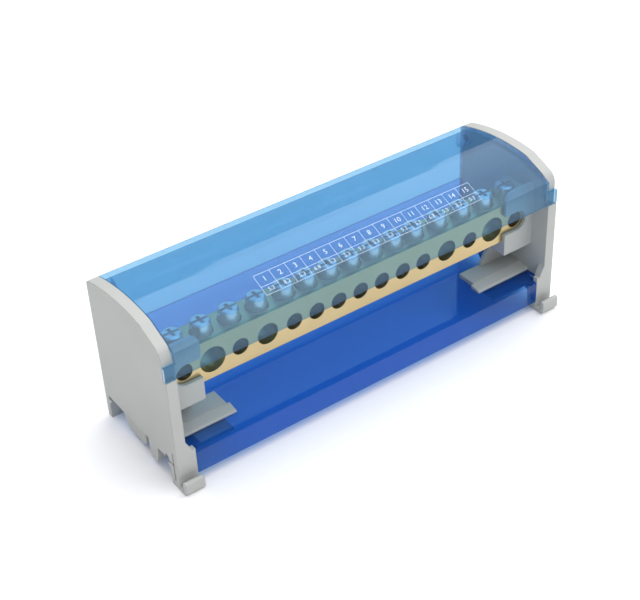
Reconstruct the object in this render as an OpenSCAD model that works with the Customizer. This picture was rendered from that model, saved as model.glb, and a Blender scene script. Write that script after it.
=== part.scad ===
// Rail-mounted power distribution block: one brass busbar with fifteen wire holes,
// held between two moulded end caps over a tray, under a hinged see-through cover.
// X runs along the block, the wires enter from -Y, and the latches stand on Z = 0.

/* [Block] */
// Length over the two end caps (eight 17.5 mm modules)
block_len = 140; // [138:1:180]
// Depth of the end caps, from front face to back face
body_d = 41.5; // [41:0.5:48]
// Height of the crown of the end caps above the standing surface
crown_h = 52.5; // [51:0.5:60]
// Drop from the crown to the back edge of the end caps
back_drop = 3.2; // [2.9:0.1:4]
// Drop from the crown to the crease over the front wall
crease_drop = 5.3; // [4.8:0.1:6]

/* [End caps] */
// Thickness of the cap plate, seen as the rim beside the cover
cap_t = 3.4; // [2.8:0.1:4.2]
// Width of the front strip at the foot, where it widens towards the tray
foot_w = 6.2; // [5.4:0.1:7.5]
// Radius of the cap's front top corner
cap_corner_r = 4; // [2:0.5:5]
// Radius of the cap's back top corner
cap_back_r = 2; // [1:0.5:3]

/* [Rail fit] */
// Height of the rail seat above the standing surface
rail_z = 8.5; // [8:0.1:9.5]
// Width of the mounting rail
rail_w = 35; // [35:0.1:35.5]
// Thickness of the rail flange under which the hooks catch
flange_t = 1; // [0.8:0.1:1.5]
// Free play between the rail and each hook
rail_play = 0.2; // [0.1:0.05:0.4]
// Thickness of the sprung latch leg and of its inner prong
leg_t = 2; // [1.6:0.1:2.2]
// Slot between the latch leg and its prong
leg_slot = 0.6; // [0.4:0.1:0.8]
// Reach of the pull hook in front of the cap
pull_out = 3.5; // [3:0.1:5]
// Height of the pull hook's lip
pull_h = 4.8; // [4:0.1:6]

/* [Tray] */
// Thickness of the tray floor and walls
tray_t = 1.5; // [1.2:0.1:2]
// Height of the tray's back wall above the standing surface
tray_back_h = 29.6; // [24:0.1:30]
// Lower edge of the tray's front skirt
skirt_z = 3.4; // [2:0.1:5]

/* [Cover] */
// Wall thickness of the cover
cover_t = 1.5; // [1.2:0.1:1.8]
// Height of the cover's front wall, from its lower edge to the crease
front_wall_h = 8.4; // [7.5:0.1:9]
// Height of the ears that lap over the caps' front
ear_h = 4.6; // [3:0.1:5]
// Thickness of the ears
ear_t = 1; // [0.8:0.1:1.2]
// Gap between the cover and the pieces beside it
cover_gap = 0.3; // [0.2:0.05:0.5]
// Diameter of the two hinge pegs
peg_d = 3; // [2.4:0.1:3.2]
// Radial clearance of the pegs in the caps
peg_clear = 0.08; // [0.05:0.01:0.1]

/* [Busbar] */
// Depth of the bar, front to back
bar_d = 10; // [9:0.1:11]
// Height of the bar
bar_h = 13.2; // [12.4:0.1:13.6]
// Height of the bar's underside above the standing surface
bar_z = 26.3; // [25.5:0.1:27]
// Distance from the cap's front face to the bar's front face
bar_setback = 8; // [7:0.1:9]
// Height of the hole centres above the bar's underside
hole_up = 6.2; // [6:0.1:6.6]
// Diameter of the small wire holes
hole_s = 5.3; // [4.5:0.1:5.8]
// Diameter of the medium wire holes
hole_m = 6.8; // [6:0.1:7.4]
// Diameter of the large wire holes
hole_l = 8.2; // [7.6:0.1:8.6]
// Distance from the outermost hole's centre to the bar's end
bar_end = 4.85; // [4.5:0.05:6]
// How much wider the pitch beside a larger hole is than between two small ones
pitch_extra = 1.3; // [1:0.1:1.6]

/* [Screws] */
// Diameter of the clamping screws
screw_d = 6; // [5:0.1:6.2]
// Radial clearance of a screw in its bore
screw_clear = 0.05; // [0.02:0.01:0.1]
// Diameter of the plain point under a screw
point_d = 3.2; // [3:0.1:3.4]
// Length of that point where the wire hole is wider than the screw
point_short = 1.4; // [1.3:0.1:1.6]
// Thinnest wire that a screw clamps against the bottom of its hole
wire_min = 0.7; // [0.5:0.1:1.5]
// How far a slackened screw stands out of the bar
screw_out = 3.8; // [3.6:0.1:4.4]
// Width of the driver slot
slot_w = 1; // [0.8:0.1:1.2]
// Depth of the driver slot and cross
slot_depth = 1.6; // [1:0.1:2]
// Length of the cross recess that crosses the slot
cross_l = 3.6; // [3:0.1:4]

/* [Hidden] */
$fn = 48;
SCREWS = 15;
eps = 0.01;

back_h = crown_h - back_drop;
crease_h = crown_h - crease_drop;
cover_edge_z = crease_h - front_wall_h;

// Front and back faces: the pull hooks and the back wall lie the same way from Y = 0.
front_y = (pull_out - body_d) / 2;
back_y = front_y + body_d;
half_len = block_len / 2;

// Top outline: an arc from the back edge to the fold, then a flat down to the crease.
fold_in = 11;
crown_in = body_d / 2;
crown_drop = crown_h - back_h;
crown_r = (crown_in * crown_in + crown_drop * crown_drop) / (2 * crown_drop);
function crown_z(y_in, r) = crown_h - crown_r + sqrt(r * r - (y_in - crown_in) * (y_in - crown_in));

// The caps' rims stand back behind the cover's front, so that its ears swing up past them.
cap_setback = ear_t + cover_gap;

bar_inset = cap_t + 1.6;
bar_len = block_len - 2 * bar_inset;

// Wire holes: sizes and places count from the middle hole outwards. Three of the seven steps
// on each side lie between small holes, the other four beside a larger one.
pitch_s = (bar_len / 2 - bar_end - 4 * pitch_extra) / 7;
pitch_l = pitch_s + pitch_extra;
hole_kinds = [hole_s, hole_s, hole_s, hole_s, hole_m, hole_s, hole_l, hole_s];
function step_out(n) = hole_kinds[n] == hole_s && hole_kinds[n - 1] == hole_s ? pitch_s : pitch_l;
function place_out(n) = n == 0 ? 0 : place_out(n - 1) + step_out(n);
middle = (SCREWS - 1) / 2;
function hole_x(i) = sign(i - middle) * place_out(abs(i - middle));
function hole_d(i) = hole_kinds[abs(i - middle)];
hole_z = bar_z + hole_up;

bar_front = front_y + bar_setback;
bar_mid_y = bar_front + bar_d / 2;
bar_top = bar_z + bar_h;
tip_room = 0.1;
sink = 0.5;

// A screw wider than its wire hole ends in a longer point, which clamps inside the hole while
// the thread stays above the hole's axis.
axis_over = 0.25;
function point_len(i) = hole_d(i) > screw_d + 2 * screw_clear ? point_short
    : hole_d(i) / 2 - wire_min + axis_over;
function bore_floor(i) = hole_z - hole_d(i) / 2 + wire_min + point_len(i) - tip_room;

// Bar pocket inside each cap
seat_h = 4.8;
lip_t = 1.2;
lip_gap = 0.1;
hook_t = 1.2;
pocket_len = 11.4;
pocket_reach = cap_t + pocket_len;
pocket_lip_h = 2.4;
pocket_top = crease_h - cover_t - 1.6;
pocket_front = bar_front - lip_gap - lip_t;
pocket_back = bar_front + bar_d + lip_gap + lip_t;

// Tray: its floor slides in between the lower and the upper tongue of each cap
tray_gap = 0.1;
under_t = 0.8;
floor_low = rail_z + under_t + tray_gap;
floor_top = floor_low + tray_t;

// Lower tongue, whose underside is part of the rail seat
under_reach = 21;
under_in = 3.6;
under_d = 10.4;

// Upper tongue: a plate with a lower ramp in front, which reaches a little further
tongue_reach = 23.4;
tongue_t = 1.5;
tongue_in = 11;
tongue_d = 6.8;
ramp_reach = 24.4;
ramp_in = 7.2;
ramp_t = 0.7;

// Hinge axis of the cover
peg_y = back_y - 3;
peg_z = back_h - 3.2;
peg_in = 2;

// Rail recess: hooks either side of the rail, and the sprung leg in front of it
hook_reach = 1.4;
hook_h = 1.8;
prong_in = body_d - leg_t - rail_w - 2 * rail_play;
slot_in = prong_in - leg_t - leg_slot + 0.3;
slot_z = 2.4;
root_z = rail_z + 4;
pull_t = 1.6;
pull_floor = 1.3;

// Points of an arc about (cy, cz), from angle a0 to a1.
function arc(cy, cz, r, a0, a1, n) =
    [for (i = [0 : n]) let (a = a0 + (a1 - a0) * i / n) [cy + r * cos(a), cz + r * sin(a)]];

// Corner of radius r between the directions of two straight edges that meet at p.
function fillet(p, d0, d1, r, n) =
    let (half = acos(d0 * d1) / 2, k = r / tan(half), m = (d0 + d1) / norm(d0 + d1),
        c = p + m * r / sin(half), s = p + d0 * k - c, e = p + d1 * k - c,
        a0 = atan2(s[1], s[0]), da = atan2(e[1], e[0]) - a0,
        turn = da > 180 ? da - 360 : da < -180 ? da + 360 : da)
    [for (i = [0 : n]) c + r * [cos(a0 + turn * i / n), sin(a0 + turn * i / n)]];

// Upper outline from the front wall's foot to the back wall's foot. The front wall stands at
// depth front_in, and the top and back are set in by wall, square to each surface.
function top_outline(front_in, low_front, low_back, r_front, r_back, wall) =
    let (fold = [fold_in, crown_z(fold_in, crown_r)],
        slope = (fold - [0, crease_h]) / norm(fold - [0, crease_h]),
        crease = [front_in, crease_h + (front_in * slope[1] - wall) / slope[0]],
        a_fold = atan2(fold[1] - crown_h + crown_r, fold[0] - crown_in),
        r = crown_r - wall,
        a_back = acos((body_d - wall - crown_in) / r),
        corner = [body_d - wall, crown_h - crown_r + r * sin(a_back)],
        back_tangent = [-sin(a_back), cos(a_back)])
    concat([[front_in, low_front]],
        r_front > 0 ? fillet(crease, [0, -1], slope, r_front, 6) : [crease],
        arc(crown_in, crown_h - crown_r, r, a_fold, a_back + 4, 14),
        fillet(corner, back_tangent, [0, -1], r_back, 6),
        [[body_d - wall, low_back]]);

// Extrude an outline drawn in depth and height along X, from x0 to x1.
module along_x(x0, x1)
    translate([x0, front_y, 0]) rotate([90, 0, 90]) linear_extrude(x1 - x0) children();

// Box given by its two corners
module span(a, b) translate(a) cube(b - a);

// ---- End cap -------------------------------------------------------------

// Side plate: loaf-shaped top set back behind the cover's ear, and a foot in the rail channel
module cap_plate() {
    foot_a = 11;
    foot_b = 16;
    foot_low = rail_z - 6.3;
    difference() {
        along_x(-half_len, -half_len + cap_t)
            polygon(concat(
                [[0, rail_z], [0, cover_edge_z - cover_gap], [cap_setback, cover_edge_z - cover_gap]],
                top_outline(cap_setback, cover_edge_z, rail_z, cap_corner_r, cap_back_r, 0),
                [[foot_b, rail_z], [foot_b, foot_low + 1.2], [foot_b - 1.6, foot_low],
                 [foot_a + 1, foot_low], [foot_a, rail_z - 2.6], [foot_a, rail_z]]));
        // round relief over the front slot of the rail
        translate([-half_len - 1, front_y + prong_in + 1.5, rail_z + 0.3]) rotate([0, 90, 0])
            cylinder(r = 1.1, h = cap_t + 2);
        // blind hole for the hinge peg
        translate([-half_len + cap_t - peg_in - 0.2, peg_y, peg_z]) rotate([0, 90, 0])
            cylinder(r = peg_d / 2 + peg_clear, h = peg_in + 1);
    }
    // second foot in the rail channel, set in from the outer face
    foot_c = 19.5;
    foot_d = 32;
    along_x(-half_len + 0.8, -half_len + cap_t)
        polygon([[foot_c, rail_z + 1], [foot_c, foot_low + 1.2], [foot_c + 1.2, foot_low],
            [foot_d - 3, foot_low], [foot_d, foot_low + 3], [foot_d, rail_z + 1]]);
}

// Rear hook and sprung front latch with its pull hook
module cap_latches() {
    x0 = -half_len;
    x1 = -half_len + foot_w;
    under = rail_z - flange_t - 0.2;
    // rear hook behind and under the rail
    along_x(x0, x1) polygon([[body_d, rail_z], [body_d, 0], [body_d - leg_t, 0],
        [body_d - leg_t, under - hook_h], [body_d - leg_t - hook_reach, under - 0.6],
        [body_d - leg_t - hook_reach, under], [body_d - leg_t, under], [body_d - leg_t, rail_z]]);
    // front leg, its inner prong with the catching nose, and the rounded pull hook
    along_x(x0, x1) polygon(concat(
        [[0, root_z], [0, pull_floor], [pull_t - pull_out, pull_floor]],
        arc(pull_t / 2 - pull_out, pull_h - pull_t / 2, pull_t / 2, 0, 180, 8),
        arc(pull_t - pull_out, pull_t, pull_t, 180, 270, 5),
        [[prong_in, 0], [prong_in, under - hook_h], [prong_in + hook_reach, under - 0.6],
         [prong_in + hook_reach, under], [prong_in, under], [prong_in, rail_z - 0.5],
         [slot_in + leg_slot, rail_z - 0.5], [slot_in + leg_slot, slot_z], [slot_in, slot_z],
         [slot_in, root_z]]));
}

// Slot that frees the latch leg from the plate and the front strip
module latch_slot() {
    along_x(-half_len - 1, -half_len + foot_w + 1)
        polygon([[slot_in, slot_z], [slot_in + leg_slot, slot_z],
            [slot_in + leg_slot, root_z], [slot_in, root_z]]);
}

// Front strip: widens below into the foot, with a sloped shoulder
module cap_strip() {
    shoulder_z = 16.2;
    shoulder_h = 5.6;
    strip_t = 2.4;
    translate([-half_len, front_y + strip_t, 0]) rotate([90, 0, 0]) linear_extrude(strip_t)
        polygon([[0, rail_z], [foot_w, rail_z], [foot_w, shoulder_z - shoulder_h],
            [cap_t, shoulder_z], [0, shoulder_z]]);
}

// Seat under the bar, front and back lips, end wall and the tall front screen
module bar_pocket() {
    x0 = -half_len + cap_t;
    x1 = -half_len + pocket_reach;
    wire_x = hole_x(0);
    span([x0, pocket_front, bar_z - seat_h], [x1, pocket_back, bar_z]);
    span([x0, pocket_back - lip_t, bar_z - eps], [x1, pocket_back, bar_z + pocket_lip_h]);
    span([x0, bar_front, bar_z - eps], [-half_len + bar_inset - lip_gap, pocket_back, bar_top + hook_t]);
    // snap hook over the bar's end
    span([x0, bar_front + 2, bar_top + lip_gap],
         [-half_len + bar_inset + 1.4, bar_front + bar_d - 2, bar_top + lip_gap + hook_t]);
    difference() {
        translate([0, pocket_front + lip_t, 0]) rotate([90, 0, 0]) linear_extrude(lip_t)
            polygon(concat([[x0, bar_z - eps], [x0, pocket_top]],
                fillet([x1, pocket_top], [-1, 0], [0, -1], 3, 6), [[x1, bar_z - eps]]));
        translate([wire_x, pocket_front - 1, hole_z]) rotate([-90, 0, 0]) cylinder(d = hole_s + 1.6, h = lip_t + 2);
        span([wire_x, pocket_front - 1, hole_z - hole_s / 2 - 0.8],
             [x1 + 1, pocket_front + lip_t + 1, hole_z + hole_s / 2 + 0.8]);
    }
}

// Tongues that grip the tray floor from above and from below
module shelf_tongue() {
    x0 = -half_len + cap_t - eps;
    span([x0, front_y + tongue_in, floor_top],
         [-half_len + tongue_reach, front_y + tongue_in + tongue_d, floor_top + tongue_t]);
    along_x(x0, -half_len + ramp_reach)
        polygon([[ramp_in, floor_top], [tongue_in + eps, floor_top],
            [tongue_in + eps, floor_top + tongue_t - 0.2], [ramp_in + 0.4, floor_top + ramp_t],
            [ramp_in, floor_top + ramp_t - 0.3]]);
    span([x0, front_y + under_in, rail_z],
         [-half_len + under_reach, front_y + under_in + under_d, rail_z + under_t]);
}

// Web at the tongue's back edge that carries the bar seat
module seat_web() {
    x0 = -half_len + cap_t - eps;
    translate([0, front_y + tongue_in + tongue_d, 0]) rotate([90, 0, 0]) linear_extrude(lip_t)
        polygon([[x0, floor_top], [x0 + 12, floor_top], [x0 + 12, floor_top + tongue_t + 0.8],
            [x0 + 7, bar_z - seat_h + eps], [x0, bar_z - seat_h + eps]]);
}

module cap_body() {
    difference() {
        union() {
            cap_plate();
            cap_latches();
            cap_strip();
        }
        latch_slot();
    }
    bar_pocket();
    shelf_tongue();
    seat_web();
}

module left_cap() color("gainsboro") cap_body();
module right_cap() color("gainsboro") mirror([1, 0, 0]) cap_body();

// ---- Tray ----------------------------------------------------------------

// Floor over the rail, front skirt between the cap feet, back wall under the cover
module base_tray() color("royalblue") {
    x0 = -half_len + cap_t + tray_gap;
    span([x0, front_y + 2.6, floor_low], [-x0, back_y, floor_top]);
    xf = -half_len + foot_w + tray_gap;
    span([xf, front_y, floor_low], [-xf, front_y + 2.6 + eps, floor_top]);
    span([xf, front_y, skirt_z], [-xf, front_y + tray_t, floor_low + eps]);
    span([x0, back_y - tray_t, floor_top - eps], [-x0, back_y, tray_back_h]);
}

// ---- Cover ---------------------------------------------------------------

// Curved shell with a sharp crease, front wall, short back wall, ears and hinge pegs
module cover() color("lightskyblue", 0.6) {
    x0 = -half_len + cap_t + cover_gap;
    back_low = tray_back_h + cover_gap;
    along_x(x0, -x0) difference() {
        polygon(top_outline(0, cover_edge_z, back_low, 0.6, 1.8, 0));
        polygon(top_outline(cover_t, cover_edge_z - 1, back_low - 1, 0, 0.4, cover_t));
    }
    for (side = [-1, 1]) {
        // ear over the cap's front
        span([side < 0 ? -half_len : -x0 - eps, front_y, cover_edge_z],
             [side < 0 ? x0 + eps : half_len, front_y + ear_t, cover_edge_z + ear_h]);
        // hinge peg on its boss
        translate([side * (half_len - cap_t + peg_in), peg_y, peg_z]) rotate([0, -side * 90, 0])
            cylinder(d = peg_d, h = peg_in + cover_gap + 3);
        translate([side * (half_len - cap_t - cover_gap), peg_y, peg_z]) rotate([0, -side * 90, 0])
            cylinder(r = 2.4, h = 3);
    }
}

// ---- Busbar and screws ----------------------------------------------------

module busbar() color("goldenrod") difference() {
    translate([-bar_len / 2, bar_front, bar_z]) cube([bar_len, bar_d, bar_h]);
    for (i = [0 : SCREWS - 1]) {
        translate([hole_x(i), bar_front - 1, hole_z]) rotate([-90, 0, 0])
            cylinder(d = hole_d(i), h = bar_d + 2);
        translate([hole_x(i), bar_mid_y, bore_floor(i)])
            cylinder(r = screw_d / 2 + screw_clear, h = bar_h);
        translate([hole_x(i), bar_mid_y, bar_top - sink])
            cylinder(r1 = screw_d / 2 + screw_clear, r2 = screw_d / 2 + screw_clear + 2 * sink, h = 2 * sink);
    }
}

// Set screw with a slot and a cross recess, slackened so that its tip is level with the top of the wire hole
module clamp_screw(i) color("silver") {
    tip_z = hole_z + hole_d(i) / 2;
    body_z = tip_z + point_len(i);
    top_z = bar_top + screw_out;
    edge = 0.5;
    bevel = 0.2;
    translate([hole_x(i), bar_mid_y, 0]) difference() {
        rotate_extrude() polygon([[0, tip_z], [point_d / 2 - bevel, tip_z], [point_d / 2, tip_z + bevel],
            [point_d / 2, body_z], [screw_d / 2 - bevel, body_z], [screw_d / 2, body_z + bevel],
            [screw_d / 2, top_z - edge], [screw_d / 2 - edge, top_z], [0, top_z]]);
        translate([-screw_d, -slot_w / 2, top_z - slot_depth]) cube([2 * screw_d, slot_w, slot_depth + 1]);
        translate([-slot_w / 2, -cross_l / 2, top_z - slot_depth]) cube([slot_w, cross_l, slot_depth + 1]);
    }
}

left_cap();
right_cap();
base_tray();
cover();
busbar();
clamp_screw(0);  // screw_01
clamp_screw(1);  // screw_02
clamp_screw(2);  // screw_03
clamp_screw(3);  // screw_04
clamp_screw(4);  // screw_05
clamp_screw(5);  // screw_06
clamp_screw(6);  // screw_07
clamp_screw(7);  // screw_08
clamp_screw(8);  // screw_09
clamp_screw(9);  // screw_10
clamp_screw(10);  // screw_11
clamp_screw(11);  // screw_12
clamp_screw(12);  // screw_13
clamp_screw(13);  // screw_14
clamp_screw(14);  // screw_15
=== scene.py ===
import math

import bmesh
import bpy
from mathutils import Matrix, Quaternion, Vector


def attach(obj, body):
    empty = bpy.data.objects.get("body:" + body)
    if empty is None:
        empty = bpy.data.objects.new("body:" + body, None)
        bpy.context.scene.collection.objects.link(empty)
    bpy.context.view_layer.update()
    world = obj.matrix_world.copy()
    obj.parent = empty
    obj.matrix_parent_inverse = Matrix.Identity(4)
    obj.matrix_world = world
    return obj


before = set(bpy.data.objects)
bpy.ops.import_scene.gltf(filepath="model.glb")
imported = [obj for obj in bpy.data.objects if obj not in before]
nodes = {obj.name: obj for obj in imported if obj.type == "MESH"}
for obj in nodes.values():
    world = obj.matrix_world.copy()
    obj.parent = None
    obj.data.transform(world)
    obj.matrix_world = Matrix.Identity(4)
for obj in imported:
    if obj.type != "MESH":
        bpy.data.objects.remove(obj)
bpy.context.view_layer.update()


# ---- The two end caps ----
# Light grey nylon, each moulded in one piece with its rail hooks, sprung latch, bar pocket
# and tongues. The mould was lightly spark-eroded, which leaves a fine satin grain.

class Value:
    """One socket of a finish, so that sums on sockets read as plain arithmetic."""

    def __init__(self, finish, socket):
        self.finish, self.socket = finish, socket

    def maths(self, operation, *terms):
        return self.finish.node("ShaderNodeMath", dict(operation=operation), *terms)

    def __add__(self, other):
        return self.maths("ADD", self, other)

    def __mul__(self, other):
        return self.maths("MULTIPLY", self, other)

    def __gt__(self, other):
        return self.maths("GREATER_THAN", self, other)

    def __abs__(self):
        return self.maths("ABSOLUTE", self)

    __radd__, __rmul__ = __add__, __mul__


class Finish:
    """A material around one Principled shader; node() adds any node and gives one output."""

    def __init__(self, name, **constants):
        self.material = bpy.data.materials.new(name)
        self.material.use_nodes = True
        self.tree = self.material.node_tree
        self.shader = self.tree.nodes["Principled BSDF"]
        self.output = self.tree.nodes["Material Output"]
        for socket, value in constants.items():
            self.shader.inputs[socket.replace("_", " ")].default_value = value

    def feed(self, socket, value):
        if isinstance(value, Value):
            self.tree.links.new(value.socket, socket)
        else:
            socket.default_value = value

    def node(self, kind, settings=None, *inputs, output=0, **named):
        made = self.tree.nodes.new(kind)
        for name, value in (settings or {}).items():
            setattr(made, name, value)
        for socket, value in zip(made.inputs, inputs):
            self.feed(socket, value)
        for name, value in named.items():
            self.feed(made.inputs[name.replace("_", " ")], value)
        return Value(self, made.outputs[output])

    def noise(self, scale, detail, stretch=(1, 1, 1)):
        """Cloudy values from 0 to 1; scale is in features per metre."""
        place = self.node("ShaderNodeTexCoord", output="Object")
        place = self.node("ShaderNodeMapping", {}, Vector=place, Scale=stretch)
        return self.node("ShaderNodeTexNoise", {}, Vector=place, Scale=scale, Detail=detail, output="Fac")

    def between(self, a, b, mask):
        """The colour that runs from a, where mask is 0, to b, where it is 1."""
        mixed = self.tree.nodes.new("ShaderNodeMix")
        mixed.data_type = "RGBA"
        for socket, value in ((mixed.inputs[0], mask), (mixed.inputs[6], a), (mixed.inputs[7], b)):
            self.feed(socket, value)
        return Value(self, mixed.outputs[2])

    def surface(self, **inputs):
        for name, value in inputs.items():
            self.feed(self.shader.inputs[name.replace("_", " ")], value)

    def relief(self, height, depth, round_edge):
        """Grain of the given depth in metres, over edges that are rounded off by round_edge."""
        soft = self.node("ShaderNodeBevel", dict(samples=4), round_edge, output="Normal")
        bump = self.node("ShaderNodeBump", {}, Height=height, Distance=depth, Normal=soft)
        self.surface(Normal=bump)


def dress(names, finish):
    """Give the named CAD nodes this finish all over."""
    for name in names:
        mesh = nodes[name].data
        mesh.materials.clear()
        mesh.materials.append(finish.material)


grey = Finish("grey_nylon", IOR=1.5)
grain = grey.noise(2600, detail=4)
cloud = grey.noise(60, detail=2)
grey.surface(Base_Color=grey.between((0.40, 0.413, 0.393, 1), (0.445, 0.455, 0.435, 1), cloud),
             Roughness=0.42 + 0.14 * grain)
grey.relief(grain, 0.00004, 0.0004)
dress(["left_cap", "right_cap"], grey)


# ---- The base tray ----
# See-through blue polycarbonate, moulded as one long trough with a front skirt, a floor and a
# back wall. Its floor slides in between the tongues of the caps, which grip it from both sides.

def let_light_through(finish, tint, veil):
    """Mix the finish with clear tinted plastic. Veil is its least share.

    Towards grazing views the share grows as a gloss does, alike on both sides of a wall, and
    on the end faces it is larger, because one looks along the plastic there.
    """
    gloss_square_on, end_face_share, along_x = 0.04, 0.45, 0.9
    normal = finish.node("ShaderNodeNewGeometry", output="Normal")
    end_face = abs(finish.node("ShaderNodeSeparateXYZ", {}, normal)) > along_x
    facing = finish.node("ShaderNodeLayerWeight", output="Facing")
    glance = gloss_square_on + (1 - gloss_square_on) * (facing * facing) * (facing * facing) * facing
    share = veil + (1 - veil) * glance + end_face_share * end_face
    open_way = finish.tree.nodes.new("ShaderNodeBsdfTransparent")
    open_way.inputs["Color"].default_value = tint
    mixed = finish.tree.nodes.new("ShaderNodeMixShader")
    finish.feed(mixed.inputs[0], share)
    finish.tree.links.new(open_way.outputs[0], mixed.inputs[1])
    finish.tree.links.new(finish.shader.outputs[0], mixed.inputs[2])
    finish.tree.links.new(mixed.outputs[0], finish.output.inputs["Surface"])


# The tray's colour, tint and veil are set deeper than the cover's: this is partly painted shade, standing
# in for the dark under the block that turns its floor deep blue.
blue = Finish("clear_blue_tray", Coat_Weight=1.0, Coat_IOR=2.4, Coat_Roughness=0.04)
swirl = blue.noise(45, detail=2, stretch=(0.4, 1, 1))
fine = blue.noise(900, detail=3)
blue.surface(Base_Color=blue.between((0.022, 0.13, 0.52, 1), (0.035, 0.18, 0.68, 1), swirl),
             Roughness=0.06 + 0.06 * swirl + 0.03 * fine)
blue.relief(swirl, 0.00004, 0.0003)
let_light_through(blue, (0.33, 0.585, 0.865, 1), 0.12)
dress(["base_tray"], blue)


# ---- The busbar ----
# One length of drawn brass, cross-drilled for the wires and tapped from above for the screws.
# Drawing leaves fine streaks along its length, and handling leaves a few darker stains.

brass = Finish("drawn_brass", Metallic=1.0)
streak = brass.noise(700, detail=4, stretch=(0.02, 1, 1))
stain = brass.noise(70, detail=3)
brass.surface(Base_Color=brass.between((0.53, 0.40, 0.20, 1), (0.65, 0.52, 0.29, 1), stain),
              Roughness=0.24 + 0.16 * streak + 0.08 * stain)
brass.relief(streak, 0.00003, 0.0002)
dress(["busbar"], brass)


# ---- The clamping screws ----
# Fifteen set screws of zinc-plated steel, slotted and crossed for either driver, one down
# through the bar onto each wire. The plating is a little cloudy and has a faint blue cast.

zinc = Finish("zinc_plate", Metallic=1.0)
patch = zinc.noise(500, detail=3)
zinc.surface(Base_Color=zinc.between((0.56, 0.60, 0.64, 1), (0.72, 0.74, 0.76, 1), patch),
             Roughness=0.22 + 0.2 * patch)
zinc.relief(patch, 0.00002, 0.0002)
dress([name for name in nodes if name.startswith("screw_")], zinc)


# ---- The cover ----
# See-through blue polycarbonate, 1.5 mm thick, hinged at its back edge on two pegs that snap
# into the caps. It is polished inside and out, and its end faces look darker and fuller.

clear = Finish("clear_blue_cover", Coat_Weight=1.0, Coat_IOR=4.0, Coat_Roughness=0.03)
wave = clear.noise(30, detail=1, stretch=(0.3, 1, 1))
clear.surface(Base_Color=clear.between((0.10, 0.34, 0.72, 1), (0.14, 0.40, 0.80, 1), wave),
              Roughness=0.05 + 0.05 * wave)
clear.relief(wave, 0.00005, 0.00015)
let_light_through(clear, (0.56, 0.76, 0.87, 1), 0.05)
dress(["cover"], clear)


# ---- The print on the cover ----
# A ruled table in thin white ink on the sloped front of the cover: one column for each wire
# hole, with the hole's number above its bore in millimetres. It is screen-printed.

ink = Finish("white_ink", IOR=1.5)
speck = ink.noise(4000, detail=3)
ink.surface(Base_Color=ink.between((0.46, 0.60, 0.76, 1), (0.60, 0.71, 0.82, 1), speck),
            Roughness=0.45 + 0.2 * speck)
ink.relief(speck, 0.00001, 0.0)

front_y, crease_z = -0.019, 0.0472        # the slope's foot, over the cover's front face
fold_in, fold_z = 0.011, 0.051806         # its top, this far behind the front face
slope = (fold_z - crease_z) / fold_in
table_x, table_in = (-0.0345, 0.0425), (0.0040, 0.0105)
ink_lift, rule_w = 0.00003, 0.00012


def on_slope(x, depth):
    """The point of the cover's sloped front at this length and this depth behind its front."""
    up = Vector((0, -slope, 1)).normalized() * ink_lift
    return Vector((x, front_y + depth, crease_z + depth * slope)) + up


def ruled(bm, a, b, width):
    """A thin flat strip of ink from a to b, points given as (x, depth)."""
    along = Vector((b[0] - a[0], b[1] - a[1])).normalized()
    side = Vector((-along.y, along.x)) * width / 2
    corners = [(a[0] + side.x, a[1] + side.y), (a[0] - side.x, a[1] - side.y),
               (b[0] - side.x, b[1] - side.y), (b[0] + side.x, b[1] + side.y)]
    bm.faces.new([bm.verts.new(on_slope(*c)) for c in corners])


def numeral(bm, text, x, depth, height):
    """A plain number lying flat on the slope, with its middle at this length and depth."""
    curve = bpy.data.curves.new("numeral", "FONT")
    curve.body, curve.size, curve.resolution_u = text, height, 2
    curve.align_x, curve.align_y = "CENTER", "CENTER"
    holder = bpy.data.objects.new("numeral", curve)
    bpy.context.scene.collection.objects.link(holder)
    flat = bpy.data.meshes.new_from_object(holder.evaluated_get(bpy.context.evaluated_depsgraph_get()))
    placed = [bm.verts.new(on_slope(x + v.co.x, depth + v.co.y / math.hypot(1, slope)))
              for v in flat.vertices]
    for face in flat.polygons:
        bm.faces.new([placed[i] for i in face.vertices])
    bpy.data.objects.remove(holder)
    bpy.data.curves.remove(curve)
    bpy.data.meshes.remove(flat)


bm = bmesh.new()
columns, rows = 15, (0, 0.42, 1)
large_holes, medium_holes = (2, 14), (4, 12)
number_h, bore_h = 0.0024, 0.0018
row_in = [table_in[0] + share * (table_in[1] - table_in[0]) for share in rows]
column_w = (table_x[1] - table_x[0]) / columns
for depth in row_in:
    ruled(bm, (table_x[0], depth), (table_x[1], depth), rule_w)
for i in range(columns + 1):
    x = table_x[0] + i * column_w
    ruled(bm, (x, table_in[0]), (x, table_in[1]), rule_w)
for number in range(1, columns + 1):
    middle = table_x[0] + (number - 0.5) * column_w
    bore = "8.2" if number in large_holes else "6.8" if number in medium_holes else "5.3"
    numeral(bm, str(number), middle, (row_in[1] + row_in[2]) / 2, number_h)
    numeral(bm, bore, middle, (row_in[0] + row_in[1]) / 2, bore_h)
mesh = bpy.data.meshes.new("printed_table")
bm.to_mesh(mesh)
bm.free()
printed_table = bpy.data.objects.new("printed_table", mesh)
bpy.context.scene.collection.objects.link(printed_table)
mesh.materials.append(ink.material)
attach(printed_table, "cover")


# ---- The studio ----
# A pale sweep lit by one large softbox overhead, which the cover's slope mirrors, and a weak
# one at the front left. The camera stands where a person would, looking down at the block.

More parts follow.
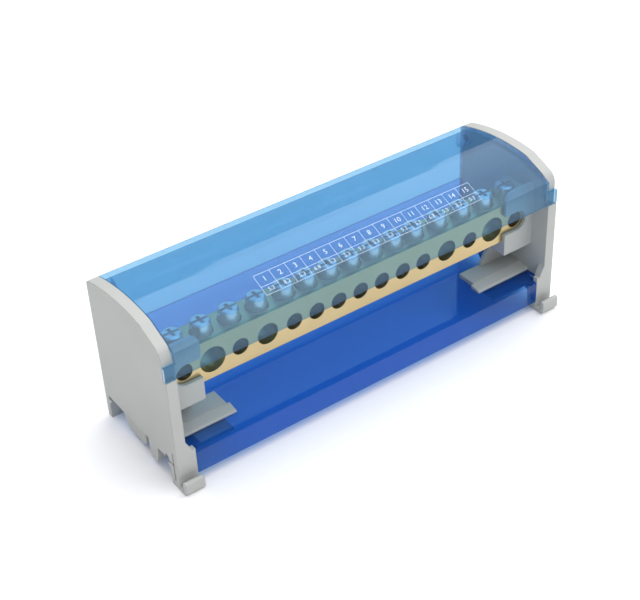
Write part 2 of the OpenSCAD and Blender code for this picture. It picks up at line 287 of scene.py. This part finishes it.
floor_mesh = bpy.data.meshes.new("sweep")
reach = 6
corners = [(-reach, -reach, 0), (reach, -reach, 0), (reach, reach, 0), (-reach, reach, 0)]
floor_mesh.from_pydata(corners, [], [(0, 1, 2, 3)])
sweep = bpy.data.objects.new("sweep", floor_mesh)
bpy.context.scene.collection.objects.link(sweep)
paper = Finish("paper_sweep", Specular_IOR_Level=0.1)
fibre = paper.noise(300, detail=4)
paper.surface(Base_Color=paper.between((0.90, 0.90, 0.905, 1), (0.93, 0.93, 0.935, 1), fibre),
              Roughness=0.8 + 0.1 * fibre)
floor_mesh.materials.append(paper.material)

world = bpy.data.worlds.new("studio")
bpy.context.scene.world = world
world.use_nodes = True
world.node_tree.nodes["Background"].inputs["Color"].default_value = (0.93, 0.96, 1.0, 1)
world.node_tree.nodes["Background"].inputs["Strength"].default_value = 0.45


def softbox(name, place, aim, size, watts, colour):
    lamp = bpy.data.lights.new(name, "AREA")
    lamp.shape, lamp.size, lamp.size_y = "RECTANGLE", size[0], size[1]
    lamp.energy, lamp.color = watts, colour
    stand = bpy.data.objects.new(name, lamp)
    bpy.context.scene.collection.objects.link(stand)
    stand.location = place
    stand.rotation_euler = (Vector(aim) - Vector(place)).to_track_quat("-Z", "Y").to_euler()


softbox("overhead", (0.35, -0.10, 1.3), (0.0, -0.10, 0.0), (3.2, 2.4), 47, (1.0, 0.99, 1.0))
softbox("front_left", (-1.1, -0.9, 0.8), (0, 0, 0.03), (0.9, 0.9), 1.5, (1.0, 0.98, 0.95))

camera = bpy.data.objects.new("camera", bpy.data.cameras.new("camera"))
bpy.context.scene.collection.objects.link(camera)
bpy.context.scene.camera = camera
camera.data.lens, camera.data.sensor_width = 75.8, 36
camera.data.clip_start, camera.data.clip_end = 0.01, 20
aim, distance = Vector((-0.0070, 0.0001, 0.026)), 0.4015
turn, height, roll = math.radians(-34.07), math.radians(36.27), math.radians(-2.91)
back = Vector((math.sin(turn) * math.cos(height), -math.cos(turn) * math.cos(height), math.sin(height)))
camera.location = aim + back * distance
camera.rotation_mode = "QUATERNION"
camera.rotation_quaternion = (-back).to_track_quat("-Z", "Y") @ Quaternion((0, 0, 1), roll)
bpy.context.scene.view_settings.view_transform = "Standard"
